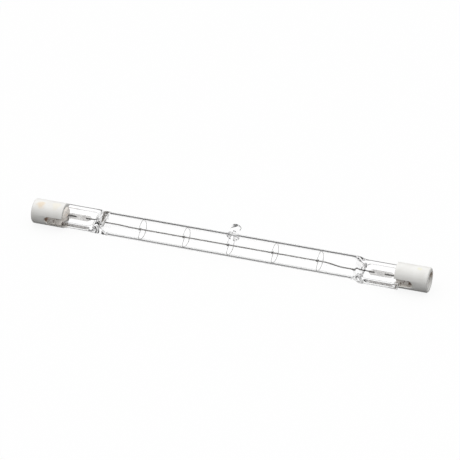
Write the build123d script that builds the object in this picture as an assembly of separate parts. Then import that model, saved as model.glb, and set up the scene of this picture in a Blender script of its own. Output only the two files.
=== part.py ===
from build123d import *
import os
from math import cos, pi, sin

os.makedirs("parts", exist_ok=True)

# A double-ended linear quartz halogen lamp lying on its two ceramic caps.
# X runs along the lamp, Z is up, the origin is on the caps' axis halfway between the ends.

# Whole lamp
overall_length = 117.6  # over the outer faces of both caps
contact_depth = 1.7  # from a cap's outer face down to its contact
seal_roll = 8.5  # degrees, the seals' near edge dips
burner_drop = 0.1  # the quartz hangs this far below the caps' axis, so the lamp's heavy side is down
burner_side = -0.009  # and lies this far to the near side

# Ceramic caps
cap_diameter = 7.2
cap_length = 9.5
cap_edge_chamfer = 0.35  # outer edge
cap_bore_diameter = 5.2  # takes the end of the seal and the cement
cap_floor = 1.6  # ceramic left between the bore and the contact recess
recess_diameter = 4.8  # the contact sits flush in a pocket of its own in the recess's floor
slot_width = 2.5  # two opposite slots let the seal's edges out
slot_length = 5.4  # measured from the rim, round end included

# Metal contacts
contact_diameter = 4.0
contact_thickness = 0.5
shank_diameter = 1.3  # passes through the cap's floor
shank_length = 2.0
lead_socket_depth = 1.4  # how far the outer lead enters the shank

# Cement
cement_rim_gap = 0.5  # how far the cement stays below the rim
cement_slot_gap = 0.55  # how far it stays below the cap's outer surface in a slot

# Quartz tube
tube_diameter = 6.96
tube_wall = 0.56
shoulder_length = 3.0  # round to flat
cavity_end_wide = 3.0  # the cavity where it closes
cavity_end_thick = 0.6
cavity_end_corner = 0.28
cavity_end_gap = 0.8  # quartz between the cavity's end and the full seal

# Press seals
seal_shown = 9.3  # flat length from the shoulder to the cap's rim
seal_width = 9.5
seal_thickness = 2.0  # over the edge ribs
seal_web = 1.25  # between the ribs
seal_rib = 1.1  # width of a rib
seal_corner = 0.6  # rounding of its four long edges
groove_corner = 1.6  # rounding of the pressed panel in plan
left_seal_reach = 4.0  # how deep each seal goes into its cap
right_seal_reach = 1.5
left_seal_shift = 0.3  # each seal lies a little to one side of the tube, along its width
right_seal_shift = -0.9

# Tip-off where the exhaust tube was sealed
pip_rise = 12.5  # degrees above the plane of the seals, on the far side
pip_reach = 7.55  # from the lamp's axis to the tip
pip_foot_radius = 2.2
pip_head_radius = 1.7
pip_tip_radius = 0.5
pip_lean = 0.42  # how far the stub stands to the right of its tip
exhaust_diameter = 1.3

# Filament
coil_diameter = 0.44
coil_bore = 0.22
coil_end_gap = 0.5  # from the coil's end to the end of the tube's straight stretch
coil_straight_end = 2.3  # in line with the inner lead
coil_slant = 6.2  # length over which it leaves the axis for a lead
spud_length = 1.5  # the part of an inner lead that is screwed into the coil

# Filament supports
support_count = 5
support_end_gap = 1.6  # from where the coil leaves the axis to the last support
support_wire = 0.18
support_sides = 4  # flats that stand for the wire's round section
support_ring_clearance = 0.03  # to the tube's inner wall
support_ring_sweep = 300.0  # degrees
support_ring_start = 187.0  # degrees, where the ring meets its spoke, which leaves the wrap at a tangent
support_ring_offset = 0.8  # from the wrap's start to the ring, along the lamp
wrap_length = 0.6  # the turns on the coil, taken together as a sleeve
wrap_sides = 8  # flats that stand for the sleeve's round section
wrap_clearance = 0.02  # between the coil and the wire wrapped on it

# Leads and foils
lead_diameter = 0.45
lead_flat = 0.15  # from a lead's axis to the flat where the foil is welded on
foil_thickness = 0.04
foil_width = 2.4
foil_length = 7.2
foil_corner = 0.8  # cut corners
foil_start = 4.5  # from the end of the tube's straight stretch to the foil
inner_lead_overlap = 1.6  # length welded to the foil
outer_lead_overlap = 2.6

shoulder_steps = 3  # straight runs between round and flat, outside
cavity_steps = 1  # and inside
wire_sides = 12  # flats that stand for the round section of the coil and the leads
round_share = 0.995  # corner radius over half width that is taken as round

# Sizes that follow
half_length = overall_length / 2
cap_radius = cap_diameter / 2
rim = half_length - cap_length
contact_face = half_length - contact_depth
recess_floor = contact_face - contact_thickness
bore_end = recess_floor - cap_floor
slot_end = rim + slot_length
tube_radius = tube_diameter / 2
cavity_radius = tube_radius - tube_wall
seal_start = rim - seal_shown
shoulder_start = seal_start - shoulder_length
cavity_end = seal_start - cavity_end_gap
coil_end = shoulder_start - coil_end_gap
slant_end = coil_end - coil_straight_end
slant_start = slant_end - coil_slant
support_pitch = 2 * (slant_start - support_end_gap) / (support_count - 1)
lead_radius = lead_diameter / 2
foil_inner = shoulder_start + foil_start
foil_outer = foil_inner + foil_length
shank_start = recess_floor - shank_length
socket_end = shank_start + lead_socket_depth
wire_radius = support_wire / 2
ring_radius = cavity_radius - support_ring_clearance - wire_radius
wrap_inner = coil_diameter / 2 + wrap_clearance
wrap_outer = wrap_inner + support_wire


def seat(piece):
    """Turns a piece about the lamp's axis to the roll of its seals."""
    return Rot(seal_roll, 0, 0) * piece


def hung(piece):
    """Moves a piece of the burner from its own axis to where it lies under the caps' axis."""
    return Pos(0, burner_side, -burner_drop) * piece


def rod(x_from, x_to, radius):
    """A round bar along X."""
    return Pos((x_from + x_to) / 2, 0, 0) * Rot(0, 90, 0) * Cylinder(radius, abs(x_to - x_from))


def wire(x_from, x_to, radius, y):
    """A length of lead or spud along X."""
    start = Plane((x_from, y, 0), z_dir=(x_to - x_from, 0, 0))
    return extrude(start * RegularPolygon(radius, wire_sides), abs(x_to - x_from))


def bar(x_from, x_to, wide, thick, y=0.0, z=0.0):
    """A rectangular bar along X."""
    return Pos((x_from + x_to) / 2, y, z) * Box(abs(x_to - x_from), wide, thick)


def outline(x, half_wide, half_thick, corner, y=0.0):
    """A rounded rectangle square to X, drawn so that it has eight edges at every size."""
    level = Plane((x, y, 0), x_dir=(0, 1, 0), z_dir=(1, 0, 0))
    return level * RectangleRounded(2 * half_wide, 2 * half_thick, corner)


def eased(share):
    """A share from 0 to 1 that starts and ends level."""
    return share * share * (3 - 2 * share)


def necking(side, x_from, x_to, start, end, corner, shift, steps):
    """The run from a round section to a flat one, whose corners shrink as it flattens."""
    sections = []
    for step in range(steps + 1):
        share = step / steps
        blend = eased(share)
        x = side * (x_from + (x_to - x_from) * share)
        half_wide = start + (end[0] - start) * blend
        half_thick = start + (end[1] - start) * blend
        rounding = start * round_share + (corner - start * round_share) * blend
        sections.append(outline(x, half_wide, half_thick, rounding, shift * blend))
    return loft(sections, ruled=True)


def seal_solid(side, reach, shift):
    """One press seal with its shoulder: ribs along both edges and a thinner panel between them."""
    outer_end = rim + reach
    half = (seal_width / 2, seal_thickness / 2)
    shoulder = necking(side, shoulder_start, seal_start, tube_radius, half, seal_corner, shift, shoulder_steps)
    flat = extrude(
        outline(side * seal_start, half[0], half[1], seal_corner, shift),
        outer_end - seal_start,
        dir=(side, 0, 0),
    )
    panel = bar(seal_start, outer_end + groove_corner * 2, seal_width - 2 * seal_rib, seal_thickness)
    panel = fillet(panel.edges().filter_by(Axis.Z), groove_corner)
    if side < 0:
        panel = Rot(0, 0, 180) * panel
    lift = seal_web / 2 + seal_thickness / 2
    flat -= Pos(0, shift, lift) * panel
    flat -= Pos(0, shift, -lift) * panel
    return shoulder + flat


def tip_off():
    """The sealed stub of the exhaust tube: a stubby dome drawn over to one side at the tip."""
    rise = pip_reach - tube_radius
    rings = [
        Pos(pip_lean, 0, tube_radius * 0.6) * Circle(pip_foot_radius),
        Pos(pip_lean, 0, tube_radius + rise * 0.5) * Circle(pip_head_radius),
        Pos(pip_lean, 0, tube_radius + rise * 0.8) * Circle(pip_head_radius * 0.7),
        Pos(0, 0, pip_reach) * Circle(pip_tip_radius),
    ]
    stub = loft([Face(ring.wire()) for ring in rings], ruled=True)
    return Rot(pip_rise - 90, 0, 0) * stub


def exhaust_hole():
    """The hole that the tube was emptied and filled through, closed off inside the tip."""
    bottom = cavity_radius * 0.9
    top = tube_radius + (pip_reach - tube_radius) * 0.55
    hole = Pos(pip_lean, 0, (bottom + top) / 2) * Cylinder(exhaust_diameter / 2, top - bottom)
    return Rot(pip_rise - 90, 0, 0) * hole


def foil_solid(side, shift):
    """A strip of molybdenum foil with cut corners, lying under the flats of both leads."""
    strip = bar(side * foil_inner, side * foil_outer, foil_width, foil_thickness)
    strip = chamfer(strip.edges().filter_by(Axis.Z), foil_corner)
    return Pos(0, shift, -lead_flat - foil_thickness / 2) * strip


def flat_cut(side, x_from, x_to, shift):
    """The stock taken off a lead to make the flat for the foil."""
    depth = lead_diameter
    return bar(side * x_from, side * x_to, lead_diameter * 2, depth, shift, -lead_flat - depth / 2)


def inner_lead_solid(side, shift):
    """A rod from the foil to the cavity, with a thin spud for the coil."""
    inner_end = foil_inner + inner_lead_overlap
    lead = wire(side * coil_end, side * inner_end, lead_radius, shift)
    lead -= flat_cut(side, foil_inner, inner_end, shift)
    return lead + wire(side * (coil_end - spud_length), side * coil_end, coil_bore / 2, shift)


def outer_lead_solid(side, reach, shift):
    """A rod from the foil out to the contact, bent back to the cap's axis between quartz and contact."""
    outer_start = foil_outer - outer_lead_overlap
    free_start = rim + reach
    free_run = shank_start - free_start
    path = Polyline(
        (side * outer_start, shift, 0),
        (side * (free_start + free_run * 0.2), shift, 0),
        (side * (free_start + free_run * 0.7), -burner_side, burner_drop),
        (side * socket_end, -burner_side, burner_drop),
    )
    section = Plane(path @ 0, z_dir=path % 0) * RegularPolygon(lead_radius, wire_sides)
    lead = sweep(section, path=path, transition=Transition.RIGHT)
    return lead - flat_cut(side, outer_start, foil_outer, shift)


def contact_solid(side):
    """A rivet-like contact: a flat head in the recess and a shank through the cap's floor."""
    head = rod(recess_floor, contact_face, contact_diameter / 2)
    shank = rod(shank_start, recess_floor, shank_diameter / 2)
    contact = head + shank
    return contact if side > 0 else Rot(0, 0, 180) * contact


def slot_solid():
    """The space of both slots: a bar right across the cap with a round end."""
    straight = bar(rim, slot_end - slot_width / 2, cap_diameter * 2, slot_width)
    end = Pos(slot_end - slot_width / 2, 0, 0) * Rot(90, 0, 0) * Cylinder(slot_width / 2, cap_diameter * 2)
    return straight + end


def cap_solid():
    """The right-hand ceramic cap, with its slots level."""
    body = rod(rim, half_length, cap_radius)
    rims = body.edges().filter_by(GeomType.CIRCLE).sort_by(Axis.X)
    body = chamfer(rims[-1], cap_edge_chamfer)
    body -= rod(contact_face, half_length, recess_diameter / 2)
    body -= rod(recess_floor, contact_face, contact_diameter / 2)
    body -= rod(rim, bore_end, cap_bore_diameter / 2)
    body -= rod(bore_end, recess_floor, shank_diameter / 2)
    return body - slot_solid()


def cement_space():
    """The right-hand space that cement fills, before the parts it holds are taken out of it."""
    fill = rod(rim + cement_rim_gap, bore_end, cap_bore_diameter / 2)
    sides = slot_solid() & rod(rim + cement_rim_gap, slot_end, cap_radius - cement_slot_gap)
    return fill + sides


def mirrored(piece):
    """The left-hand twin of a right-hand piece."""
    return mirror(piece, about=Plane.YZ)


def support_solid():
    """A tungsten support: a wire wrapped on the coil, then led out to a ring along the tube's wall."""
    sleeve = extrude(Plane.YZ * RegularPolygon(wrap_outer, wrap_sides), wrap_length)
    sleeve -= extrude(Plane.YZ * RegularPolygon(wrap_inner, wrap_sides, major_radius=False), wrap_length)
    start = Vector(wrap_length - wire_radius, 0, wrap_outer - wire_radius)
    turn = support_ring_start * pi / 180
    corner = Vector(support_ring_offset, ring_radius * cos(turn), ring_radius * sin(turn))
    run = corner - start
    section = RegularPolygon(wire_radius, support_sides)
    spoke = extrude(Plane(start, z_dir=run) * section, run.length + wire_radius)
    across = Plane(corner, x_dir=(1, 0, 0), z_dir=(0, -sin(turn), cos(turn)))
    ring = revolve(across * section, Axis.X, support_ring_sweep)
    return sleeve + spoke + ring


def coil_solid():
    """The coiled filament as a fine tube of the coil's size, slanting to the lead at each end."""
    path = Polyline(
        (-coil_end, left_seal_shift, 0),
        (-slant_end, left_seal_shift, 0),
        (-slant_start, 0, 0),
        (slant_start, 0, 0),
        (slant_end, right_seal_shift, 0),
        (coil_end, right_seal_shift, 0),
    )
    ring = RegularPolygon(coil_diameter / 2, wire_sides) - RegularPolygon(coil_bore / 2, wire_sides)
    return sweep(Plane(path @ 0, z_dir=path % 0) * ring, path=path, transition=Transition.RIGHT)


# Burner pieces, built with the seals level
left_foil = hung(foil_solid(-1, left_seal_shift))
right_foil = hung(foil_solid(1, right_seal_shift))
left_inner_lead = hung(inner_lead_solid(-1, left_seal_shift))
right_inner_lead = hung(inner_lead_solid(1, right_seal_shift))
left_outer_lead = hung(outer_lead_solid(-1, left_seal_reach, left_seal_shift))
right_outer_lead = hung(outer_lead_solid(1, right_seal_reach, right_seal_shift))

outside = rod(-shoulder_start, shoulder_start, tube_radius)
outside += seal_solid(-1, left_seal_reach, left_seal_shift)
outside += seal_solid(1, right_seal_reach, right_seal_shift)
outside += tip_off()
cavity_half = (cavity_end_wide / 2, cavity_end_thick / 2)
cavity = rod(-shoulder_start, shoulder_start, cavity_radius)
for side, shift in ((-1, left_seal_shift), (1, right_seal_shift)):
    closing = (cavity_half, cavity_end_corner, shift, cavity_steps)
    cavity += necking(side, shoulder_start, cavity_end, cavity_radius, *closing)
cavity += exhaust_hole()
envelope = hung(outside - cavity)
for metal in (left_foil, right_foil, left_inner_lead, right_inner_lead, left_outer_lead, right_outer_lead):
    envelope -= metal

# Caps, contacts and cement
right_cap = cap_solid()
left_cap = mirrored(right_cap)
right_contact = contact_solid(1) - right_outer_lead
left_contact = contact_solid(-1) - left_outer_lead
right_cement = cement_space() - envelope - right_foil - right_outer_lead - right_contact
left_cement = mirrored(cement_space()) - envelope - left_foil - left_outer_lead - left_contact

# One file a piece
export_step(seat(envelope), "parts/quartz_envelope.step")
export_step(seat(hung(coil_solid())), "parts/filament.step")
support = support_solid()
for number in range(1, support_count + 1):
    wrap_start = (number - 1 - (support_count - 1) / 2) * support_pitch - support_ring_offset / 2
    export_step(seat(hung(Pos(wrap_start, 0, 0) * support)), f"parts/filament_support_{number}.step")
export_step(seat(left_inner_lead), "parts/left_inner_lead.step")
export_step(seat(right_inner_lead), "parts/right_inner_lead.step")
export_step(seat(left_foil), "parts/left_foil.step")
export_step(seat(right_foil), "parts/right_foil.step")
export_step(seat(left_outer_lead), "parts/left_outer_lead.step")
export_step(seat(right_outer_lead), "parts/right_outer_lead.step")
export_step(seat(left_cap), "parts/left_cap.step")
export_step(seat(right_cap), "parts/right_cap.step")
export_step(seat(left_contact), "parts/left_contact.step")
export_step(seat(right_contact), "parts/right_contact.step")
export_step(seat(left_cement), "parts/left_cement.step")
export_step(seat(right_cement), "parts/right_cement.step")
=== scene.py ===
import logging
import math
from dataclasses import dataclass, replace
from enum import Enum
from typing import ClassVar, Sequence

import bmesh
import bpy
import numpy as np
from mathutils import Matrix, Vector, noise


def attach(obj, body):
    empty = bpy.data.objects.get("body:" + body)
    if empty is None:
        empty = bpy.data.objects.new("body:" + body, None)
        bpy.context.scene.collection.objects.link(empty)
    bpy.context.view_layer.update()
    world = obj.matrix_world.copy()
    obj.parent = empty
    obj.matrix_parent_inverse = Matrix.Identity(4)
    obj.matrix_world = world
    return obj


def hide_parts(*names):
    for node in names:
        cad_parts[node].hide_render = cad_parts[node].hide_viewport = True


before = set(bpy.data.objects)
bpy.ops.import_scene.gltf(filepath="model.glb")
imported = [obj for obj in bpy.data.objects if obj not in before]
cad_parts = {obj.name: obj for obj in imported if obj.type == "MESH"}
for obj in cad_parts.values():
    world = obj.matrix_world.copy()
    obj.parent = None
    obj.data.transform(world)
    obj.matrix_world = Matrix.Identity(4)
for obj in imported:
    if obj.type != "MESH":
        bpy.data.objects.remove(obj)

log = logging.getLogger("quartz_lamp")
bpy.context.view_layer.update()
# Sizes are in millimetres, and MM turns them into Blender's metres.
MM = 0.001
BODY = "root"
SUPPORTS = 5
WHITE = (1.0, 1.0, 1.0)
Colour = tuple[float, float, float]
Socket = bpy.types.NodeSocket


class End(Enum):
    """The two ends of the lamp, with the sign of their side along X."""

    LEFT = -1
    RIGHT = 1

    @property
    def word(self) -> str:
        """The end's name as the CAD nodes begin with it."""
        return self.name.lower()


class Slot(Enum):
    """Material slots of the record."""

    QUARTZ = "quartz"
    TUNGSTEN = "tungsten"
    MOLYBDENUM = "molybdenum"
    FOIL = "foil"
    CERAMIC = "ceramic"
    CONTACT = "contact"
    CEMENT = "cement"


def eased(share: float | np.ndarray) -> float | np.ndarray:
    """Returns shares from 0 to 1 that start and end level."""
    share = np.clip(share, 0.0, 1.0)
    return share * share * (3 - 2 * share)


def between(low: float, high: float, share: float) -> float:
    """Returns the value a share of the way from low to high."""
    return low + (high - low) * share


def on_circle(radius: float, degrees: float) -> tuple[float, float]:
    """Returns the two coordinates of a point on a circle."""
    turn = math.radians(degrees)
    return radius * math.cos(turn), radius * math.sin(turn)


def run_along(line: np.ndarray) -> np.ndarray:
    """Returns the length of a flat line up to each of its points."""
    return np.concatenate(([0.0], np.cumsum(np.hypot(*np.diff(line, axis=0).T))))


def stretch(start: float, stop: float, step: float) -> list[float]:
    """Spaces stations evenly over a stretch.

    Args:
        start: First station.
        stop: End of the stretch, which is left out.
        step: Largest spacing.

    Returns:
        The stations from start up to, but without, stop.
    """
    count = max(1, math.ceil((stop - start) / step))
    return [start + (stop - start) * i / count for i in range(count)]


def linked(name: str, data: bpy.types.ID) -> bpy.types.Object:
    """Makes an object and puts it in the scene.

    Args:
        name: Name of the object.
        data: Its mesh, light or camera.

    Returns:
        The new object.
    """
    made = bpy.data.objects.new(name, data)
    bpy.context.scene.collection.objects.link(made)
    return made


def mesh_object(name: str, points: np.ndarray, faces: Sequence[Sequence[int]]) -> bpy.types.Object:
    """Makes a smooth-shaded mesh object.

    Args:
        name: Name of the object and its mesh.
        points: Corner positions in millimetres, one row each.
        faces: Corner numbers of each face.

    Returns:
        The new object, linked to the scene.
    """
    mesh = bpy.data.meshes.new(name)
    mesh.from_pydata((np.asarray(points) * MM).tolist(), [], faces)
    mesh.polygons.foreach_set("use_smooth", [True] * len(mesh.polygons))
    mesh.update()
    return linked(name, mesh)


def closed_skin(rows: int, columns: int, first: int = 0, flip: bool = False) -> list[list[int]]:
    """Lists the faces of a skin over rings that follow each other, shut at both ends.

    Args:
        rows: Number of rings.
        columns: Points in a ring.
        first: Number of the first ring's first point.
        flip: Whether the faces turn the other way.

    Returns:
        The corner numbers of each face: the quads, the first end and the last end.
    """
    faces = []
    for row in range(rows - 1):
        for column in range(columns):
            here = first + row * columns + column
            beside = first + row * columns + (column + 1) % columns
            faces.append([here, beside, beside + columns, here + columns])
    last = first + (rows - 1) * columns
    faces.append([first + i for i in range(columns)][::-1])
    faces.append([last + i for i in range(columns)])
    return [face[::-1] for face in faces] if flip else faces


def wire_mesh(path: np.ndarray, radius: float, sides: int) -> tuple[np.ndarray, list[list[int]]]:
    """Sweeps a round section along a path without twisting it.

    Args:
        path: Points of the path in millimetres, one row each. It doesn't start along Z.
        radius: Radius of the wire.
        sides: Points round the section.

    Returns:
        The points and the faces of a closed wire.
    """
    tangents = np.gradient(path, axis=0)
    tangents /= np.linalg.norm(tangents, axis=1)[:, None]
    normal = np.cross(tangents[0], (0.0, 0.0, 1.0))
    turns = np.arange(sides) * 2 * math.pi / sides
    rings = []
    for point, tangent in zip(path, tangents):
        normal = normal - tangent * np.dot(normal, tangent)
        normal /= np.linalg.norm(normal)
        other = np.cross(tangent, normal)
        spokes = np.outer(np.cos(turns), normal) + np.outer(np.sin(turns), other)
        rings.append(point + radius * spokes)
    return np.vstack(rings), closed_skin(len(path), sides)


def face_out(made: bpy.types.Object) -> None:
    """Turns the faces of a closed mesh outwards.

    Args:
        made: The object whose mesh is changed.
    """
    work = bmesh.new()
    work.from_mesh(made.data)
    bmesh.ops.recalc_face_normals(work, faces=work.faces)
    work.to_mesh(made.data)
    work.free()


def apply_modifiers(made: bpy.types.Object) -> None:
    """Turns an object's modifiers into plain geometry.

    Args:
        made: The object, which takes the finished mesh.
    """
    bpy.context.view_layer.update()
    shown = made.evaluated_get(bpy.context.evaluated_depsgraph_get())
    done = bpy.data.meshes.new_from_object(shown)
    made.modifiers.clear()
    made.data = done


class NodeTree:
    """Small helper that adds and joins shader nodes."""

    def __init__(self, tree: bpy.types.NodeTree) -> None:
        """Starts on a tree that is already there."""
        self.tree = tree

    def add(self, kind: str, **settings: object) -> bpy.types.Node:
        """Adds a node.

        Args:
            kind: Node type.
            settings: Node properties to set.

        Returns:
            The new node.
        """
        node = self.tree.nodes.new(kind)
        for key, value in settings.items():
            setattr(node, key, value)
        return node

    def put(self, target: Socket, value: object) -> None:
        """Links an output to an input, or gives the input a plain value.

        Args:
            target: The input.
            value: An output, a number, a vector or a colour of three numbers.
        """
        if isinstance(value, Socket):
            self.tree.links.new(value, target)
        elif target.type == "RGBA":
            target.default_value = (*value, 1.0)
        else:
            target.default_value = value

    def feed(self, node: bpy.types.Node, **values: object) -> bpy.types.Node:
        """Sets or links inputs by name, with underscores for spaces.

        Args:
            node: The node whose inputs are fed.
            values: An output or a plain value for each input.

        Returns:
            The same node.
        """
        for key, value in values.items():
            self.put(node.inputs[key.replace("_", " ")], value)
        return node

    def maths(self, operation: str, *values: object) -> Socket:
        """Adds a Math node.

        Args:
            operation: Operation name.
            values: Outputs or numbers for its inputs.

        Returns:
            The node's output.
        """
        node = self.add("ShaderNodeMath", operation=operation)
        for target, value in zip(node.inputs, values):
            self.put(target, value)
        return node.outputs[0]

    def ramp(
        self, value: Socket, low: object, high: object, to_low: float = 0.0, to_high: float = 1.0
    ) -> Socket:
        """Maps a range smoothly to another.

        Args:
            value: Output that is mapped.
            low: Start of the range.
            high: End of the range.
            to_low: Result at the start.
            to_high: Result at the end.

        Returns:
            The mapped value.
        """
        node = self.add("ShaderNodeMapRange", interpolation_type="SMOOTHSTEP")
        self.feed(node, Value=value, From_Min=low, From_Max=high, To_Min=to_low, To_Max=to_high)
        return node.outputs[0]

    def blend(self, share: Socket, low: object, high: object) -> Socket:
        """Mixes two colours.

        Args:
            share: Output that is 0 for low and 1 for high.
            low: Colour or output.
            high: Colour or output.

        Returns:
            The mixed colour.
        """
        node = self.add("ShaderNodeMix", data_type="RGBA")
        # A Mix node keeps its inputs for colours after those for numbers and vectors.
        for target, value in zip((node.inputs[0], node.inputs[6], node.inputs[7]), (share, low, high)):
            self.put(target, value)
        return node.outputs[2]

    def blend_shaders(
        self, share: object, first: bpy.types.Node, second: bpy.types.Node
    ) -> bpy.types.Node:
        """Mixes two shaders.

        Args:
            share: Output or number, 0 for the first shader and 1 for the second.
            first: Shader node.
            second: Shader node.

        Returns:
            The node that mixes them.
        """
        node = self.add("ShaderNodeMixShader")
        for target, value in zip(node.inputs, (share, first.outputs[0], second.outputs[0])):
            self.put(target, value)
        return node

    def off_lamp(self, rays: bpy.types.bpy_prop_collection) -> Socket:
        """Returns 1 for rays that left glass or metal, and 0 for others."""
        return self.maths("MAXIMUM", rays["Is Glossy Ray"], rays["Is Transmission Ray"])


class Effects:
    """Shader node groups that more than one finish uses."""

    NOISE_MIDDLE = 0.5
    BREAK_GAIN = 2.0
    PATCH_EDGE = 1.0
    PATCH_CORE = 0.35

    def __init__(self) -> None:
        """Builds the groups once."""
        self.mottle = self._mottle()
        self.patch = self._patch()

    @staticmethod
    def _group(
        name: str, inputs: dict[str, object], outputs: Sequence[str]
    ) -> tuple[NodeTree, bpy.types.bpy_prop_collection, bpy.types.Node]:
        """Starts a node group with its sockets.

        Args:
            name: Name of the group.
            inputs: Name and default of each input, a vector where the default is a tuple.
            outputs: Names of the outputs, which are numbers.

        Returns:
            A helper on the group, what the group is given, and the node for its results.
        """
        group = bpy.data.node_groups.new(name, "ShaderNodeTree")
        for label, default in inputs.items():
            kind = "NodeSocketVector" if isinstance(default, tuple) else "NodeSocketFloat"
            socket = group.interface.new_socket(name=label, in_out="INPUT", socket_type=kind)
            socket.default_value = default
        for label in outputs:
            group.interface.new_socket(name=label, in_out="OUTPUT", socket_type="NodeSocketFloat")
        tree = NodeTree(group)
        return tree, tree.add("NodeGroupInput").outputs, tree.add("NodeGroupOutput")

    def _mottle(self) -> bpy.types.NodeTree:
        """Builds uneven colouring and a fine grain.

        Returns:
            A group with a mask of soft blotches and a height of fine grain.
        """
        inputs = {"Scale": 300.0, "Low": 0.35, "High": 0.65, "Grain Scale": 4000.0}
        tree, given, results = self._group("mottle", inputs, ["Mask", "Grain"])
        place = tree.add("ShaderNodeTexCoord").outputs["Object"]
        blotch = tree.feed(
            tree.add("ShaderNodeTexNoise"), Vector=place, Scale=given["Scale"], Detail=5.0, Roughness=0.6
        )
        grain = tree.feed(
            tree.add("ShaderNodeTexNoise"), Vector=place, Scale=given["Grain Scale"], Detail=3.0
        )
        mask = tree.ramp(blotch.outputs[0], given["Low"], given["High"])
        tree.feed(results, Mask=mask, Grain=grain.outputs[0])
        return tree.tree

    def _patch(self) -> bpy.types.NodeTree:
        """Builds a patch of broken outline about a point, for a stained place or for painted shade.

        Returns:
            A group with the patch's mask.
        """
        inputs = {"Centre": (0.0, 0.0, 0.0), "Radius": 1.0 * MM, "Broken": 0.6, "Scale": 900.0}
        tree, given, results = self._group("stain_patch", inputs, ["Mask"])
        place = tree.add("ShaderNodeTexCoord").outputs["Object"]
        away = tree.add("ShaderNodeVectorMath", operation="DISTANCE")
        tree.put(away.inputs[0], place)
        tree.put(away.inputs[1], given["Centre"])
        share = tree.maths("DIVIDE", away.outputs["Value"], given["Radius"])
        speckle = tree.feed(
            tree.add("ShaderNodeTexNoise"), Vector=place, Scale=given["Scale"], Detail=4.0
        )
        uneven = tree.maths("SUBTRACT", speckle.outputs[0], self.NOISE_MIDDLE)
        rough = tree.maths("MULTIPLY", tree.maths("MULTIPLY", uneven, given["Broken"]), self.BREAK_GAIN)
        mask = tree.ramp(tree.maths("ADD", share, rough), self.PATCH_EDGE, self.PATCH_CORE)
        tree.feed(results, Mask=mask)
        return tree.tree


class Finish:
    """A material under construction, with one Principled shader."""

    def __init__(self, name: str) -> None:
        """Makes the material and keeps its tree and shader.

        Args:
            name: Name of the material.
        """
        self.material = bpy.data.materials.new(name)
        self.material.use_nodes = True
        self.tree = NodeTree(self.material.node_tree)
        self.shader = self.material.node_tree.nodes["Principled BSDF"]

    def grouped(self, group: bpy.types.NodeTree, **values: object) -> bpy.types.Node:
        """Places a shared effect with its own values.

        Args:
            group: The node group.
            values: Its inputs.

        Returns:
            The group node.
        """
        node = self.tree.add("ShaderNodeGroup")
        node.node_tree = group
        return self.tree.feed(node, **values)

    def bump(self, height: Socket, depth: float) -> None:
        """Feeds a height to the shader's normal.

        Args:
            height: Output that is 1 at the highest.
            depth: What 1 stands for, in millimetres.
        """
        node = self.tree.add("ShaderNodeBump")
        self.tree.feed(node, Height=height, Strength=1.0, Distance=depth * MM)
        self.tree.feed(self.shader, Normal=node.outputs[0])


@dataclass(frozen=True)
class Stain:
    """A discoloured place on a surface, in millimetres: a stained place, or the painted shade in the right
    cap's contact recess.
    """

    centre: tuple[float, float, float]
    radius: float
    colour: Colour
    broken: float
    scale: float


@dataclass(frozen=True)
class MetalFinish:
    """Bare metal with uneven dulling."""

    name: str
    clean: Colour
    dull: Colour
    smooth: float
    rough: float
    blotch_scale: float = 700.0
    crinkle: float = 0.0
    crinkle_scale: float = 1500.0

    def made(self, effects: Effects) -> bpy.types.Material:
        """Builds the material.

        Args:
            effects: The shared node groups.

        Returns:
            The finished material.
        """
        finish = Finish(self.name)
        mottle = finish.grouped(effects.mottle, Scale=self.blotch_scale, Grain_Scale=self.crinkle_scale)
        mask = mottle.outputs["Mask"]
        finish.tree.feed(
            finish.shader,
            Metallic=1.0,
            Base_Color=finish.tree.blend(mask, self.clean, self.dull),
            Roughness=finish.tree.ramp(mask, 0.0, 1.0, self.smooth, self.rough),
        )
        if self.crinkle:
            finish.bump(mottle.outputs["Grain"], self.crinkle)
        return finish.material


@dataclass(frozen=True)
class EarthFinish:
    """A matt fired or set surface such as steatite or cement, with stained places and painted shade."""

    name: str
    pale: Colour
    dark: Colour
    rough: float
    blotch_scale: float
    grain_scale: float
    grain_depth: float
    low: float = 0.35
    high: float = 0.7
    stains_and_shade: tuple[Stain, ...] = ()

    def made(self, effects: Effects) -> bpy.types.Material:
        """Builds the material.

        Args:
            effects: The shared node groups.

        Returns:
            The finished material.
        """
        finish = Finish(self.name)
        mottle = finish.grouped(
            effects.mottle,
            Scale=self.blotch_scale,
            Low=self.low,
            High=self.high,
            Grain_Scale=self.grain_scale,
        )
        colour = finish.tree.blend(mottle.outputs["Mask"], self.pale, self.dark)
        # Each patch tints the colour: stained places, and on the right cap a darker patch of painted shade
        # in the contact recess.
        for stain_or_shade in self.stains_and_shade:
            patch = finish.grouped(
                effects.patch,
                Centre=tuple(value * MM for value in stain_or_shade.centre),
                Radius=stain_or_shade.radius * MM,
                Broken=stain_or_shade.broken,
                Scale=stain_or_shade.scale,
            )
            colour = finish.tree.blend(patch.outputs["Mask"], colour, stain_or_shade.colour)
        finish.tree.feed(finish.shader, Base_Color=colour, Roughness=self.rough)
        finish.bump(mottle.outputs["Grain"], self.grain_depth)
        return finish.material


@dataclass(frozen=True)
class QuartzFinish:
    """Clear fused quartz."""

    name: str = "clear_quartz"
    index: float = 1.459

    def made(self) -> bpy.types.Material:
        """Builds the material.

        Returns:
            The finished material.
        """
        finish = Finish(self.name)
        finish.tree.feed(
            finish.shader, Base_Color=WHITE, Roughness=0.0, IOR=self.index, Transmission_Weight=1.0
        )
        return finish.material


def dressed(made: bpy.types.Object, material: bpy.types.Material) -> bpy.types.Object:
    """Gives a piece its finish.

    Args:
        made: The piece, already in place.
        material: Its only material.

    Returns:
        The same piece.
    """
    made.data.materials.clear()
    made.data.materials.append(material)
    log.info("%s: %d faces, %s", made.name, len(made.data.polygons), material.name)
    return made


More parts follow.
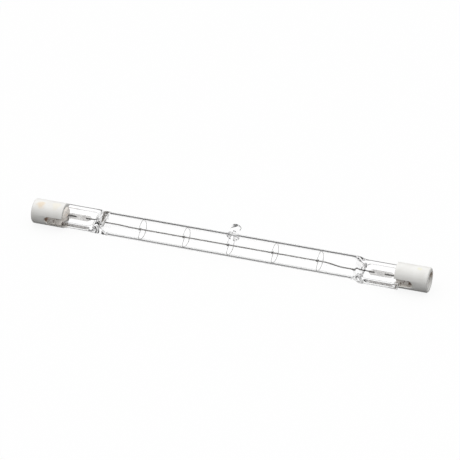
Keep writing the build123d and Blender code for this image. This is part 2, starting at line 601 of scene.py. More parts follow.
class Rebuilt:
    """A piece that is modelled again, finer than the CAD node that it stands for."""

    slot: ClassVar[Slot]
    node: str

    def build(self) -> bpy.types.Object:
        """Builds the piece in its place."""
        raise NotImplementedError

    def dress(self, material: bpy.types.Material) -> None:
        """Builds the piece, gives it its finish and ties it to the frame.

        Args:
            material: Its only material.
        """
        made = dressed(self.build(), material)
        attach(made, BODY)
        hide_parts(self.node)


@dataclass(frozen=True)
class Seat:
    """How the burner lies between the caps, in millimetres and degrees."""

    roll: float = 8.5
    drop: float = 0.1
    side: float = -0.009
    left_shift: float = 0.3
    right_shift: float = -0.9

    def shift(self, x: float) -> float:
        """Returns how far the seal at a station's end lies to one side."""
        return self.left_shift if x < 0 else self.right_shift

    def placed(self, points: np.ndarray) -> np.ndarray:
        """Moves points from the burner's own frame to the lamp's.

        Args:
            points: Positions with the seals level and the tube's axis on X.

        Returns:
            The positions as the burner lies under the caps' axis.
        """
        moved = np.asarray(points, float) + np.array((0.0, self.side, -self.drop))
        turn = math.radians(self.roll)
        y = moved[:, 1] * math.cos(turn) - moved[:, 2] * math.sin(turn)
        z = moved[:, 1] * math.sin(turn) + moved[:, 2] * math.cos(turn)
        return np.column_stack((moved[:, 0], y, z))


@dataclass
class Envelope(Rebuilt):
    """The quartz tube with its shoulders, press seals and tip-off, as one closed skin.

    Stations are distances from the lamp's middle, and the same at both ends where no side is named.
    """

    slot: ClassVar[Slot] = Slot.QUARTZ
    node: ClassVar[str] = "quartz_envelope"
    seat: Seat
    tube_radius: float = 3.48
    wall: float = 0.56
    shoulder_start: float = 37.0
    seal_start: float = 40.0
    left_end: float = 53.3
    right_end: float = 50.8
    # A seal's half width and half thickness, and the ovals of its edges.
    seal_half: tuple[float, float] = (4.75, 1.0)
    near_edge: float = 0.95
    far_edge: float = 1.7
    edge_height: float = 0.95
    # The panel pressed into both faces of a seal, which leaves the web between its ribs.
    web_half: float = 0.625
    panel_half: float = 3.65
    panel_corner: float = 1.6
    panel_edge: float = 0.8
    # The cavity, which closes in a nose at each end. The left one lies nearer to the middle.
    nose_start: float = 36.6
    nose_close: float = 39.2
    nose_power: float = 3.5
    left_nose_back: float = 1.2
    cavity_end: float = 39.75
    cavity_tip: float = 0.12
    slope_step: float = 0.05
    # The tip-off leans from its foot to a tip over the lamp's middle.
    pip_rise: float = 12.5
    pip_reach: float = 7.55
    pip_lean: float = 0.42
    pip_lean_from: float = 0.55
    pip_spread: float = 1.95
    # Its outline above the foot, as distance from its axis and share of its height.
    pip_outline: tuple[tuple[float, float], ...] = (
        (1.75, 0.05), (1.65, 0.28), (1.75, 0.52), (1.35, 0.78), (0.8, 0.94), (0.3, 1.0), (0.0, 1.0)
    )
    # The ridges that the torch twisted into it.
    pip_ridges: float = 0.24
    pip_lobes: int = 2
    pip_spiral: float = 7.0
    pip_turn: float = 0.6
    # Its closed bore, with the outline above a flared foot given in the same way.
    bore_spread: float = 1.1
    bore_foot: tuple[float, float] = (0.65, 0.1)
    bore_outline: tuple[tuple[float, float], ...] = ((0.5, 0.4), (0.25, 0.9), (0.0, 1.0))
    bore_share: float = 0.42
    # Where cement holds the seals they reach a little into it, so that no gap shows in the glass.
    bedding: float = 0.03
    bedding_start: float = 47.4
    bedding_ramp: float = 0.8
    # Spacing of the rings, and their points.
    seal_step: float = 0.2
    shoulder_step: float = 0.12
    tube_step: float = 1.2
    pip_step: float = 0.075
    pip_margin: float = 0.1
    tip_step: float = 0.03
    nose_step: float = 0.08
    cavity_step: float = 1.5
    bore_step: float = 0.08
    bore_margin: float = 0.2
    around: int = 160
    around_inside: int = 96

    FINE_TURNS: ClassVar[int] = 1440
    EXACT_DIGITS: ClassVar[int] = 9
    NEAR_AXIS: ClassVar[float] = 1e-6
    ROUNDINGS: ClassVar[int] = 4
    CORNER_CUT: ClassVar[float] = 0.25

    @classmethod
    def ring(
        cls, half: tuple[float, float], near: float, far: float, height: float, count: int
    ) -> np.ndarray:
        """Spaces points evenly round a flat bar with oval edges.

        Args:
            half: Half width along Y and half thickness along Z.
            near: Width of the oval edge on the near side.
            far: Width of the oval edge on the far side.
            height: Height of both edges' ovals above and below the middle of the bar.
            count: Number of points.

        Returns:
            The points' Y and Z, from the middle of the far side.
        """
        turns = np.linspace(0.0, 2 * math.pi, cls.FINE_TURNS + 1)
        # Rounding makes the zeros at the quarter turns exact.
        wide = np.round(np.cos(turns), cls.EXACT_DIGITS)
        up = np.round(np.sin(turns), cls.EXACT_DIGITS)
        far_side = wide * far + half[0] - far
        near_side = wide * near - half[0] + near
        across = np.where(wide > 0, far_side, np.where(wide < 0, near_side, 0.0))
        up = up * height + np.sign(up) * (half[1] - height)
        run = run_along(np.column_stack((across, up)))
        marks = np.arange(count) * run[-1] / count
        return np.column_stack((np.interp(marks, run, across), np.interp(marks, run, up)))

    def groove(self, x: float, across: np.ndarray) -> np.ndarray:
        """Finds how deep the pressed panel is at points of a seal.

        Args:
            x: Distance along the lamp.
            across: Distances from the seal's middle line.

        Returns:
            The depth at each point, from 0 at the ribs.
        """
        corner = self.panel_corner
        along = self.seal_start + corner - abs(x)
        aside = np.abs(across) - (self.panel_half - corner)
        rounded = np.hypot(np.maximum(along, 0.0), np.maximum(aside, 0.0)) - corner
        near_start = np.where(aside > 0, rounded, along - corner)
        outside = np.where(along > 0, near_start, np.maximum(aside, -corner) - corner)
        # The panel's outline lies half way down its edge.
        return (self.seal_half[1] - self.web_half) * eased(0.5 - outside / self.panel_edge)

    def flattening(self, x: float) -> float:
        """Returns how flat the quartz is at a station, 0 for the tube and 1 for a seal."""
        return eased((abs(x) - self.shoulder_start) / (self.seal_start - self.shoulder_start))

    def half_thick(self, x: float) -> float:
        """Returns half the quartz's thickness at a station."""
        return between(self.tube_radius, self.seal_half[1], self.flattening(x))

    def outer_ring(self, x: float) -> np.ndarray:
        """Draws the outside of the quartz at one station.

        Args:
            x: Distance along the lamp.

        Returns:
            The ring's points.
        """
        share = self.flattening(x)
        bed = self.bedding * eased((abs(x) - self.bedding_start) / self.bedding_ramp)
        half = (between(self.tube_radius, self.seal_half[0], share) + bed, self.half_thick(x) + bed)
        edges = (self.near_edge, self.far_edge, self.edge_height)
        ovals = [between(self.tube_radius, edge, share) + bed for edge in edges]
        flat = self.ring(half, *ovals, self.around)
        if share >= 1.0:
            sunk = np.minimum(self.groove(x, flat[:, 0]), np.abs(flat[:, 1]))
            flat[:, 1] -= np.sign(flat[:, 1]) * sunk
        shift = self.seat.shift(x) * share
        return np.column_stack((np.full(self.around, x), flat[:, 0] + shift, flat[:, 1]))

    def inner_ring(self, x: float) -> np.ndarray:
        """Draws the cavity's wall at one station.

        Args:
            x: Distance along the lamp.

        Returns:
            The ring's points.
        """
        radius = self.tube_radius - self.wall
        far = x if x > 0 else self.left_nose_back - x
        share = min(max(0.0, far - self.nose_start) / (self.cavity_end - self.nose_start), 1.0)
        step = self.slope_step
        slope = (self.half_thick(far + step) - self.half_thick(far - step)) / (2 * step)
        thick = self.half_thick(far) - self.wall * math.hypot(1.0, slope)
        closing = max(0.0, far - self.nose_close) / (self.cavity_end - self.nose_close)
        thick = max(thick * math.sqrt(max(0.0, 1.0 - closing * closing)), self.cavity_tip)
        wide = radius * (1.0 - share**self.nose_power) ** (1.0 / self.nose_power)
        wide = max(wide, self.cavity_tip)
        flat = self.ring((wide, thick), wide, wide, thick, self.around_inside)
        shift = self.seat.shift(x) * eased(share)
        return np.column_stack((np.full(self.around_inside, x), flat[:, 0] + shift, flat[:, 1]))

    def drawn_out(
        self, points: np.ndarray, radius: float, spread: float, profile: np.ndarray, ridges: float = 0.0
    ) -> np.ndarray:
        """Draws part of a tube's wall out into a stub.

        Args:
            points: Points of the wall.
            radius: The wall's radius.
            spread: How far from the stub's axis the wall is drawn in.
            profile: Share of the way to the tip, distance from the axis and height, one row each.
            ridges: Height of the twisted ridges that the torch left, as a share of the distance.

        Returns:
            The points with the stub drawn out.
        """
        rise = math.radians(self.pip_rise)
        out = np.array((0.0, math.cos(rise), math.sin(rise)))
        side = np.array((0.0, -math.sin(rise), math.cos(rise)))
        along = points[:, 0] - self.pip_lean
        beside = points @ side
        away = np.hypot(along, beside)
        near = (away < spread) & (points @ out > 0)
        share = 1.0 - away[near] / spread
        reach = np.interp(share, profile[:, 0], profile[:, 1]) / np.maximum(away[near], self.NEAR_AXIS)
        height = np.interp(share, profile[:, 0], profile[:, 2])
        turn = np.arctan2(beside[near], along[near])
        wave = np.cos(self.pip_lobes * turn + self.pip_spiral * share + self.pip_turn)
        reach *= 1.0 + ridges * np.sin(math.pi * share) ** 2 * wave
        upright = eased((share - self.pip_lean_from) / (1.0 - self.pip_lean_from))
        new_along = along[near] * reach + self.pip_lean * (1.0 - upright)
        new_beside = beside[near] * reach
        base = np.sqrt(np.maximum(radius**2 - new_beside**2, 0.0))
        drawn = points.copy()
        drawn[near] = (
            np.outer(new_along, (1.0, 0.0, 0.0))
            + np.outer(new_beside, side)
            + np.outer(base + height, out)
        )
        return drawn

    @classmethod
    def smooth_profile(cls, rows: Sequence[tuple[float, float]]) -> np.ndarray:
        """Rounds a stub's profile by cutting its corners again and again.

        Args:
            rows: Distance from the axis and height, from the foot to the tip.

        Returns:
            Share of the way by length, distance and height, finely spaced.
        """
        line = np.array(rows, float)
        for _ in range(cls.ROUNDINGS):
            cut = np.empty((2 * len(line) - 2, 2))
            cut[0::2] = line[:-1] * (1.0 - cls.CORNER_CUT) + line[1:] * cls.CORNER_CUT
            cut[1::2] = line[:-1] * cls.CORNER_CUT + line[1:] * (1.0 - cls.CORNER_CUT)
            line = np.vstack((line[:1], cut, line[-1:]))
        run = run_along(line)
        return np.column_stack((run / run[-1], line))

    def outside(self) -> np.ndarray:
        """Draws the outer skin.

        Returns:
            The points of its rings, one ring after the other.
        """
        zone = self.pip_spread + self.pip_margin
        low, high = self.pip_lean - zone, self.pip_lean + zone
        stations = [
            -self.left_end - self.bedding,
            *stretch(-self.left_end, -self.seal_start, self.seal_step),
            *stretch(-self.seal_start, -self.shoulder_start, self.shoulder_step),
            *stretch(-self.shoulder_start, low, self.tube_step),
            *stretch(low, high, self.pip_step),
            *stretch(high, self.shoulder_start, self.tube_step),
            *stretch(self.shoulder_start, self.seal_start, self.shoulder_step),
            *stretch(self.seal_start, self.right_end, self.seal_step),
            self.right_end + self.bedding,
        ]
        points = np.vstack([self.outer_ring(x) for x in stations])
        height = self.pip_reach - self.tube_radius
        outline = [(away, share * height) for away, share in self.pip_outline]
        profile = self.smooth_profile([(self.pip_spread, 0.0), *outline])
        return self.drawn_out(points, self.tube_radius, self.pip_spread, profile, self.pip_ridges)

    def inside(self) -> np.ndarray:
        """Draws the cavity's wall.

        Returns:
            The points of its rings, one ring after the other.
        """
        zone = self.bore_spread + self.bore_margin
        low, high = self.pip_lean - zone, self.pip_lean + zone
        back = self.left_nose_back
        stations = [
            *stretch(back - self.cavity_end, back - self.nose_close, self.tip_step),
            *stretch(back - self.nose_close, back - self.nose_start, self.nose_step),
            *stretch(back - self.nose_start, low, self.cavity_step),
            *stretch(low, high, self.bore_step),
            *stretch(high, self.nose_start, self.cavity_step),
            *stretch(self.nose_start, self.nose_close, self.nose_step),
            *stretch(self.nose_close, self.cavity_end, self.tip_step),
            self.cavity_end,
        ]
        points = np.vstack([self.inner_ring(x) for x in stations])
        height = self.wall + (self.pip_reach - self.tube_radius) * self.bore_share
        outline = [(away, share * height) for away, share in self.bore_outline]
        profile = self.smooth_profile([(self.bore_spread, 0.0), self.bore_foot, *outline])
        return self.drawn_out(points, self.tube_radius - self.wall, self.bore_spread, profile)

    def build(self) -> bpy.types.Object:
        """Builds the glass.

        Returns:
            The envelope as one object with an outer skin and the cavity's wall.
        """
        outside, inside = self.outside(), self.inside()
        faces = closed_skin(len(outside) // self.around, self.around)
        inner_rows = len(inside) // self.around_inside
        faces += closed_skin(inner_rows, self.around_inside, len(outside), flip=True)
        made = mesh_object("quartz_glass", self.seat.placed(np.vstack((outside, inside))), faces)
        # The quads round the walls are smooth, and the faces that shut the ends are flat.
        for face in made.data.polygons:
            face.use_smooth = face.loop_total == 4
        made.visible_shadow = False
        made.visible_diffuse = False
        return made


@dataclass
class Filament(Rebuilt):
    """The wound tungsten coil between the inner leads."""

    slot: ClassVar[Slot] = Slot.TUNGSTEN
    node: ClassVar[str] = "filament"
    seat: Seat
    coil_radius: float = 0.22
    wire_radius: float = 0.065
    pitch: float = 0.15
    half: float = 36.5
    straight_end: float = 2.3
    slant: float = 6.2
    steps: int = 10
    sides: int = 5

    def offset(self, x: float) -> float:
        """Returns how far the coil lies to one side at a station."""
        slant_start = self.half - self.straight_end - self.slant
        return self.seat.shift(x) * eased((abs(x) - slant_start) / self.slant)

    def build(self) -> bpy.types.Object:
        """Winds the coil.

        Returns:
            The coil as one object.
        """
        count = int(2 * self.half / self.pitch * self.steps)
        radius = self.coil_radius - self.wire_radius
        path = []
        for i in range(count + 1):
            x = -self.half + 2 * self.half * i / count
            y, z = on_circle(radius, 360.0 * i / self.steps)
            path.append((x, self.offset(x) + y, z))
        points, faces = wire_mesh(np.array(path), self.wire_radius, self.sides)
        return mesh_object("wound_filament", self.seat.placed(points), faces)


@dataclass
class Support(Rebuilt):
    """One wire support: turns on the coil, a spoke and a ring along the wall."""

    slot: ClassVar[Slot] = Slot.TUNGSTEN
    seat: Seat
    number: int
    wire_radius: float = 0.07
    wrap_radius: float = 0.31
    wrap_turns: float = 4.0
    wrap_pitch: float = 0.15
    wrap_end: float = 90.0
    ring_radius: float = 2.8
    ring_start: float = 187.0
    ring_sweep: float = 300.0
    ring_offset: float = 0.8
    ring_lean: float = 0.08
    spacing: float = 13.2
    wrap_steps: int = 48
    spoke_steps: int = 8
    ring_steps: int = 60
    sides: int = 8

    @property
    def node(self) -> str:
        """The CAD node of this support."""
        return f"filament_support_{self.number}"

    @property
    def start(self) -> float:
        """Where the wrap starts along the lamp, with the middle support at the lamp's middle."""
        return (self.number - (SUPPORTS + 1) / 2) * self.spacing - self.ring_offset / 2

    def path(self) -> np.ndarray:
        """Bends the wire's centre line.

        Returns:
            Its points from the wrap to the end of the ring.
        """
        points = []
        for i in range(self.wrap_steps + 1):
            turns = self.wrap_turns * i / self.wrap_steps
            y, z = on_circle(self.wrap_radius, self.wrap_end + 360.0 * (turns - self.wrap_turns))
            points.append((turns * self.wrap_pitch, y, z))
        first = np.array(points[-1])
        corner = np.array((self.ring_offset, *on_circle(self.ring_radius, self.ring_start)))
        for i in range(1, self.spoke_steps):
            points.append(tuple(first + (corner - first) * i / self.spoke_steps))
        for i in range(self.ring_steps + 1):
            swept = self.ring_sweep * i / self.ring_steps
            y, z = on_circle(self.ring_radius, self.ring_start + swept)
            points.append((self.ring_offset + self.ring_lean * (y - corner[1]), y, z))
        return np.array(points) + np.array((self.start, 0.0, 0.0))

    def build(self) -> bpy.types.Object:
        """Bends the support.

        Returns:
            The support as one object.
        """
        points, faces = wire_mesh(self.path(), self.wire_radius, self.sides)
        return mesh_object(f"support_wire_{self.number}", self.seat.placed(points), faces)


@dataclass
class Cap(Rebuilt):
    """A steatite cap with a contact recess outside and two slots inside."""

    slot: ClassVar[Slot] = Slot.CERAMIC
    end: End
    seat: Seat
    radius: float = 3.6
    outer_face: float = 58.8
    rim: float = 49.3
    bore_radius: float = 2.6
    bore_end: float = 55.0
    recess_radius: float = 2.4
    contact_face: float = 57.1
    recess_floor: float = 56.6
    contact_radius: float = 2.0
    shank_radius: float = 0.65
    slot_width: float = 2.5
    slot_length: float = 5.4
    slot_overrun: float = 1.0
    edge_rounding: float = 0.5
    bevel: float = 0.12
    bevel_segments: int = 2
    bevel_angle: float = 50.0
    sharp_angle: float = 35.0
    around: int = 96
    edge_steps: int = 6
    slot_steps: int = 16

    @property
    def node(self) -> str:
        """The CAD node of this cap."""
        return f"{self.end.word}_cap"

    def profile(self) -> list[tuple[float, float]]:
        """Draws the turned section.

        Returns:
            Distance along the lamp and radius of each corner, a closed loop.
        """
        edge = self.edge_rounding
        rounded = []
        for i in range(self.edge_steps + 1):
            out, along = on_circle(edge, 90.0 * i / self.edge_steps)
            rounded.append((self.outer_face - edge + along, self.radius - edge + out))
        return [
            (self.rim, self.bore_radius),
            (self.rim, self.radius),
            *rounded,
            (self.outer_face, self.recess_radius),
            (self.contact_face, self.recess_radius),
            (self.contact_face, self.contact_radius),
            (self.recess_floor, self.contact_radius),
            (self.recess_floor, self.shank_radius),
            (self.bore_end, self.shank_radius),
            (self.bore_end, self.bore_radius),
        ]

    def turned(self) -> bpy.types.Object:
        """Turns the section about the lamp's axis.

        Returns:
            The cap without its slots.
        """
        section = self.profile()
        points, faces = [], []
        for i in range(self.around):
            # Half a step keeps the corners off the slots' middle lines.
            degrees = 360.0 * (i + 0.5) / self.around
            points += [(x, *on_circle(radius, degrees)) for x, radius in section]
        count = len(section)
        for i in range(self.around):
            here, after = i * count, (i + 1) % self.around * count
            for j in range(count):
                beyond = (j + 1) % count
                faces.append([here + j, here + beyond, after + beyond, after + j])
        made = mesh_object(f"{self.end.word}_ceramic_cap", np.array(points), faces)
        face_out(made)
        return made

    def cutter(self) -> bpy.types.Object:
        """Makes the round-ended bar that both slots are cut with.

        Returns:
            The bar, right across the cap.
        """
        half = self.slot_width / 2
        centre = self.rim + self.slot_length - half
        outline = [(self.rim - self.slot_overrun, -half)]
        for i in range(self.slot_steps + 1):
            along, up = on_circle(half, -90.0 + 180.0 * i / self.slot_steps)
            outline.append((centre + along, up))
        outline.append((self.rim - self.slot_overrun, half))
        reach = self.radius * 2
        points = [(x, y, z) for y in (-reach, reach) for x, z in outline]
        made = mesh_object("slot_cutter", np.array(points), closed_skin(2, len(outline)))
        face_out(made)
        return made

    def build(self) -> bpy.types.Object:
        """Makes the cap.

        Returns:
            The cap with slots and softened edges.
        """
        made, cutter = self.turned(), self.cutter()
        cut = made.modifiers.new("slots", "BOOLEAN")
        cut.operation = "DIFFERENCE"
        cut.solver = "EXACT"
        cut.object = cutter
        soften = made.modifiers.new("edges", "BEVEL")
        soften.width = self.bevel * MM
        soften.segments = self.bevel_segments
        soften.limit_method = "ANGLE"
        soften.angle_limit = math.radians(self.bevel_angle)
        apply_modifiers(made)
        bpy.data.objects.remove(cutter)
        turn = Matrix.Rotation(math.radians(self.seat.roll), 4, "X")
        # The section is drawn for the right end, and the left cap is its mirror image.
        made.data.transform(turn @ Matrix.Diagonal((self.end.value, 1.0, 1.0, 1.0)))
        if self.end is End.LEFT:
            made.data.flip_normals()
        made.data.set_sharp_from_angle(angle=math.radians(self.sharp_angle))
        return made


@dataclass
class Cement(Rebuilt):
    """The cement in a cap, which stands out a little round the seal at the cap's mouth."""

    slot: ClassVar[Slot] = Slot.CEMENT
    end: End
    swell: float
    brim: float
    face: float = 49.8
    mouth_radius: float = Cap.bore_radius
    lumps: float = 0.12
    lump_size: float = 0.8
    finest: float = 0.2
    face_margin: float = 0.001
    weld: float = 0.0005
    sharp_angle: float = 40.0

    @property
    def node(self) -> str:
        """The CAD node of this cement."""
        return f"{self.end.word}_cement"

    def in_mouth(self, spot: Vector) -> bool:
        """Tells whether a point lies on the flat face at the mouth."""
        return abs(abs(spot.x) / MM - self.face) < self.face_margin

    def refine(self, work: bmesh.types.BMesh) -> None:
        """Splits the face at the mouth until no edge is long.

        Args:
            work: The cement's mesh, with shared corners.
        """
        while True:
            mouth = [face for face in work.faces if all(self.in_mouth(spot.co) for spot in face.verts)]
            edges = {edge for face in mouth for edge in face.edges}
            long = [edge for edge in edges if edge.calc_length() > self.finest * MM]
            if not long:
                return
            bmesh.ops.subdivide_edges(work, edges=long, cuts=1)
            bmesh.ops.triangulate(work, faces=[face for face in work.faces if len(face.verts) > 3])

    def lift(self, spot: Vector) -> float:
        """Finds how far the cement stands out at a point of its face.

        Args:
            spot: The point, in metres.

        Returns:
            The height of its lumpy dome there, in millimetres.
        """
        away = math.hypot(spot.y, spot.z) / MM
        lump = noise.noise(spot / (self.lump_size * MM)) * self.lumps
        dome = math.sqrt(max(0.0, 1.0 - (away / self.mouth_radius) ** 2))
        return max(0.0, self.brim + self.swell * dome + lump)

    def build(self) -> bpy.types.Object:
        """Shapes the cement from a copy of the CAD node's mesh.

        Returns:
            The cement as one object.
        """
        work = bmesh.new()
        work.from_mesh(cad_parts[self.node].data)
        bmesh.ops.remove_doubles(work, verts=work.verts, dist=self.weld * MM)
        self.refine(work)
        for corner in work.verts:
            if self.in_mouth(corner.co):
                corner.co.x -= self.end.value * self.lift(corner.co) * MM
        mesh = bpy.data.meshes.new(f"{self.node}_fill")
        work.to_mesh(mesh)
        work.free()
        mesh.polygons.foreach_set("use_smooth", [True] * len(mesh.polygons))
        mesh.set_sharp_from_angle(angle=math.radians(self.sharp_angle))
        return linked(mesh.name, mesh)


@dataclass
class Studio:
    """Floor, light and camera.

    A band of the surroundings is a range of a direction's height, from -1 straight down to 1
    straight up.
    """

    floor_height: float = -Cap.radius
    floor_reach: float = 1500.0
    floor_shade: Colour = (0.9, 0.9, 0.9)
    floor_bounce: Colour = (0.1, 0.1, 0.1)
    shadow_share: float = 0.12
    sky_low: float = 0.15
    sky_gain: float = 1.3
    horizon: float = 0.1
    underneath: float = 0.2
    backdrop: float = 1.06
    overhead_band: tuple[float, float] = (0.35, 0.6)
    backdrop_band: tuple[float, float] = (-0.06, -0.19)
    steep_band: tuple[float, float] = (-0.8, -0.87)
    straight_down_band: tuple[float, float] = (-0.96, -0.98)
    box_size: float = 500.0
    box_watts: float = 0.3
    box_place: tuple[float, float, float] = (0.0, -100.0, 700.0)
    azimuth: float = 18.5
    elevation: float = 32.1
    distance: float = 755.0
    lens: float = 209.2
    sensor: float = 36.0
    nearest: float = 10.0
    farthest: float = 20000.0
    right_of_middle: float = 0.45
    above_middle: float = 4.12
    glass_bounces: int = 40

    def floor_material(self) -> bpy.types.Material:
        """Builds the floor's finish: white with the lamp's soft shadow, and open to rays off the lamp.

        Returns:
            The floor's material.
        """
        material = bpy.data.materials.new("pale_board")
        material.use_nodes = True
        nodes = material.node_tree.nodes
        nodes.remove(nodes["Principled BSDF"])
        tree = NodeTree(material.node_tree)
        rays = tree.add("ShaderNodeLightPath").outputs
        white = tree.feed(tree.add("ShaderNodeEmission"), Color=WHITE, Strength=1.0)
        shaded = tree.feed(tree.add("ShaderNodeBsdfDiffuse"), Color=self.floor_shade)
        seen = tree.blend_shaders(self.shadow_share, white, shaded)
        unseen = tree.add("ShaderNodeBsdfTransparent")
        through = tree.blend_shaders(tree.off_lamp(rays), seen, unseen)
        bounce = tree.feed(tree.add("ShaderNodeBsdfDiffuse"), Color=self.floor_bounce)
        final = tree.blend_shaders(rays["Is Diffuse Ray"], through, bounce)
        tree.feed(nodes["Material Output"], Surface=final.outputs[0])
        material.cycles.emission_sampling = "NONE"
        return material

    def floor(self) -> None:
        """Lays the floor under the caps."""
        reach = self.floor_reach
        corners = [(-reach, -reach), (reach, -reach), (reach, reach), (-reach, reach)]
        points = np.array([(x, y, self.floor_height) for x, y in corners])
        made = mesh_object("floor", points, [[0, 1, 2, 3]])
        made.data.materials.append(self.floor_material())

    def surroundings(self) -> None:
        """Lights the scene from all round.

        Glass and metal see a white backdrop below the horizon, with a dark band above it and
        another far down.
        """
        world = bpy.data.worlds.new("studio")
        bpy.context.scene.world = world
        world.use_nodes = True
        tree = NodeTree(world.node_tree)
        rays = tree.add("ShaderNodeLightPath").outputs
        split = tree.add("ShaderNodeSeparateXYZ")
        tree.feed(split, Vector=tree.add("ShaderNodeTexCoord").outputs["Generated"])
        height = split.outputs["Z"]
        overhead = tree.ramp(height, *self.overhead_band, self.horizon, 1.0)
        below = tree.ramp(height, *self.backdrop_band, self.horizon, self.backdrop)
        steep = tree.ramp(height, *self.steep_band, 1.0, self.underneath)
        straight_down = tree.ramp(height, *self.straight_down_band)
        lower = tree.maths("MULTIPLY", below, tree.maths("MAXIMUM", steep, straight_down))
        bands = tree.maths("MAXIMUM", overhead, lower)
        above = tree.maths("MAXIMUM", height, 0.0)
        sky = tree.maths("ADD", tree.maths("MULTIPLY", above, self.sky_gain), self.sky_low)
        change = tree.maths("MULTIPLY", tree.off_lamp(rays), tree.maths("SUBTRACT", bands, sky))
        level = tree.maths("MAXIMUM", tree.maths("ADD", sky, change), rays["Is Camera Ray"])
        tree.feed(world.node_tree.nodes["Background"], Color=WHITE, Strength=level)

    def soft_box(self) -> None:
        """Hangs a soft lamp overhead, turned to the lamp's middle."""
        data = bpy.data.lights.new("soft_box", "AREA")
        data.size = self.box_size * MM
        data.energy = self.box_watts
        made = linked("soft_box", data)
        made.location = Vector(self.box_place) * MM
        made.rotation_euler = (Vector() - made.location).to_track_quat("-Z", "Y").to_euler()

    def camera(self) -> None:
        """Sets the camera at the photograph's angle."""
        az, el = math.radians(self.azimuth), math.radians(self.elevation)
        back = Vector((math.sin(az) * math.cos(el), -math.cos(az) * math.cos(el), math.sin(el)))
        right = Vector((math.cos(az), math.sin(az), 0.0))
        up = back.cross(right)
        place = back * self.distance * MM
        target = (right * self.right_of_middle + up * self.above_middle) * MM
        data = bpy.data.cameras.new("camera")
        data.lens = self.lens
        data.sensor_width = self.sensor
        data.clip_start = self.nearest * MM
        data.clip_end = self.farthest * MM
        made = linked("camera", data)
        made.location = place
        made.rotation_euler = (target - place).to_track_quat("-Z", "Y").to_euler()
        bpy.context.scene.camera = made

    def build(self) -> None:
        """Sets up the whole studio."""
        scene = bpy.context.scene
        scene.view_settings.view_transform = "Standard"
        scene.cycles.max_bounces = self.glass_bounces
        scene.cycles.transmission_bounces = self.glass_bounces
        scene.cycles.glossy_bounces = self.glass_bounces
        self.floor()
        self.surroundings()
        self.soft_box()
        self.camera()


COIL_TUNGSTEN = MetalFinish(
    name="drawn_tungsten", clean=(0.42, 0.41, 0.4), dull=(0.28, 0.27, 0.26), smooth=0.28, rough=0.5
)
SUPPORT_TUNGSTEN = MetalFinish(
    name="support_tungsten", clean=(0.4, 0.39, 0.38), dull=(0.25, 0.245, 0.24), smooth=0.3, rough=0.5
)
MOLYBDENUM_ROD = MetalFinish(
    name="molybdenum_rod", clean=(0.16, 0.155, 0.15), dull=(0.08, 0.075, 0.07), smooth=0.35, rough=0.55
)
MOLYBDENUM_FOIL = MetalFinish(
    name="molybdenum_foil",
    clean=(0.72, 0.71, 0.7),
    dull=(0.58, 0.57, 0.56),
    smooth=0.25,
    rough=0.45,
    crinkle=0.02,
)
DULL_CONTACT = MetalFinish(
    name="dull_contact", clean=(0.5, 0.47, 0.42), dull=(0.3, 0.26, 0.2), smooth=0.3, rough=0.55
)
STEATITE = EarthFinish(
    name="steatite",
    pale=(0.89, 0.885, 0.86),
    dark=(0.84, 0.83, 0.8),
    rough=0.55,
    blotch_scale=350.0,
    grain_scale=6000.0,
    grain_depth=0.012,
)
LAMP_CEMENT = EarthFinish(
    name="cement",
    pale=(0.95, 0.9, 0.84),
    dark=(0.17, 0.1, 0.07),
    rough=0.9,
    blotch_scale=900.0,
    grain_scale=2500.0,
    grain_depth=0.08,
)


@dataclass(frozen=True)
class EndState:
    """How one end was left by the making and by use, and what shade is painted on its cap.

    The cement stands out by swell in the middle of the cap's mouth and by brim all over it, and is
    brown where its blotches pass brown_from.
    """

    swell: float
    brim: float
    brown_from: float
    cap_stains_and_shade: tuple[Stain, ...]
    cement_stains: tuple[Stain, ...] = ()


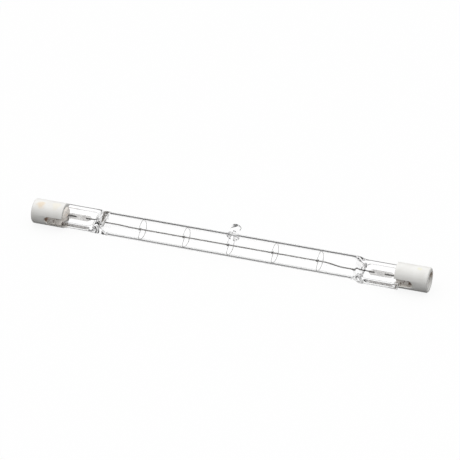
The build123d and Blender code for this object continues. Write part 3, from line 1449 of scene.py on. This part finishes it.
END_STATES = {
    End.LEFT: EndState(
        swell=1.0,
        brim=0.42,
        brown_from=0.6,
        cap_stains_and_shade=(
            Stain(
                centre=(-56.2, -1.52, 3.26), radius=1.5, colour=(0.85, 0.74, 0.6), broken=0.9, scale=500.0
            ),
            Stain(
                centre=(-51.6, -1.1, 3.4), radius=1.6, colour=(0.88, 0.85, 0.77), broken=1.1, scale=600.0
            ),
        ),
        cement_stains=(
            Stain(
                centre=(-54.0, -3.0, -0.45), radius=1.1, colour=(0.42, 0.27, 0.19), broken=0.7, scale=900.0
            ),
            Stain(
                centre=(-49.4, -0.8, 0.9), radius=1.0, colour=(0.86, 0.66, 0.5), broken=0.9, scale=900.0
            ),
        ),
    ),
    End.RIGHT: EndState(
        swell=0.3,
        brim=0.0,
        brown_from=0.548,
        cap_stains_and_shade=(
            Stain(
                centre=(55.7, -0.55, 3.56), radius=0.9, colour=(0.87, 0.86, 0.72), broken=0.8, scale=800.0
            ),
            # Painted shade: a dark brown patch on the far wall of the contact recess, where that wall lies
            # in shade.
            Stain(
                centre=(57.9, 2.2, 0.6), radius=1.7, colour=(0.56, 0.48, 0.41), broken=0.5, scale=700.0
            ),
        ),
    ),
}


@dataclass
class Lamp:
    """The whole lamp: which pieces are rebuilt, which are carried over, and their finishes."""

    seat: Seat
    effects: Effects
    brown_edge: float = 0.08

    def burner(self) -> None:
        """Builds and dresses the quartz with all that it holds."""
        support_wire = SUPPORT_TUNGSTEN.made(self.effects)
        rod = MOLYBDENUM_ROD.made(self.effects)
        foil = MOLYBDENUM_FOIL.made(self.effects)
        Envelope(self.seat).dress(QuartzFinish().made())
        Filament(self.seat).dress(COIL_TUNGSTEN.made(self.effects))
        for number in range(1, SUPPORTS + 1):
            Support(self.seat, number).dress(support_wire)
        for end in End:
            for lead in ("inner_lead", "outer_lead"):
                dressed(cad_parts[f"{end.word}_{lead}"], rod)
            dressed(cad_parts[f"{end.word}_foil"], foil)

    def ends(self) -> None:
        """Builds and dresses the caps with their contacts and cement."""
        contact = DULL_CONTACT.made(self.effects)
        for end in End:
            state = END_STATES[end]
            steatite = replace(STEATITE, name=f"{end.word}_steatite", stains_and_shade=state.cap_stains_and_shade)
            cement = replace(
                LAMP_CEMENT,
                name=f"{end.word}_cement",
                low=state.brown_from,
                high=state.brown_from + self.brown_edge,
                stains_and_shade=state.cement_stains,
            )
            Cap(end, self.seat).dress(steatite.made(self.effects))
            dressed(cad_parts[f"{end.word}_contact"], contact)
            Cement(end, state.swell, state.brim).dress(cement.made(self.effects))

    def build(self) -> None:
        """Builds the lamp."""
        self.burner()
        self.ends()


def main() -> None:
    """Builds the lamp and the studio."""
    logging.basicConfig(level=logging.INFO, format="%(name)s %(message)s")
    Lamp(Seat(), Effects()).build()
    Studio().build()


if __name__ == "__main__":
    main()
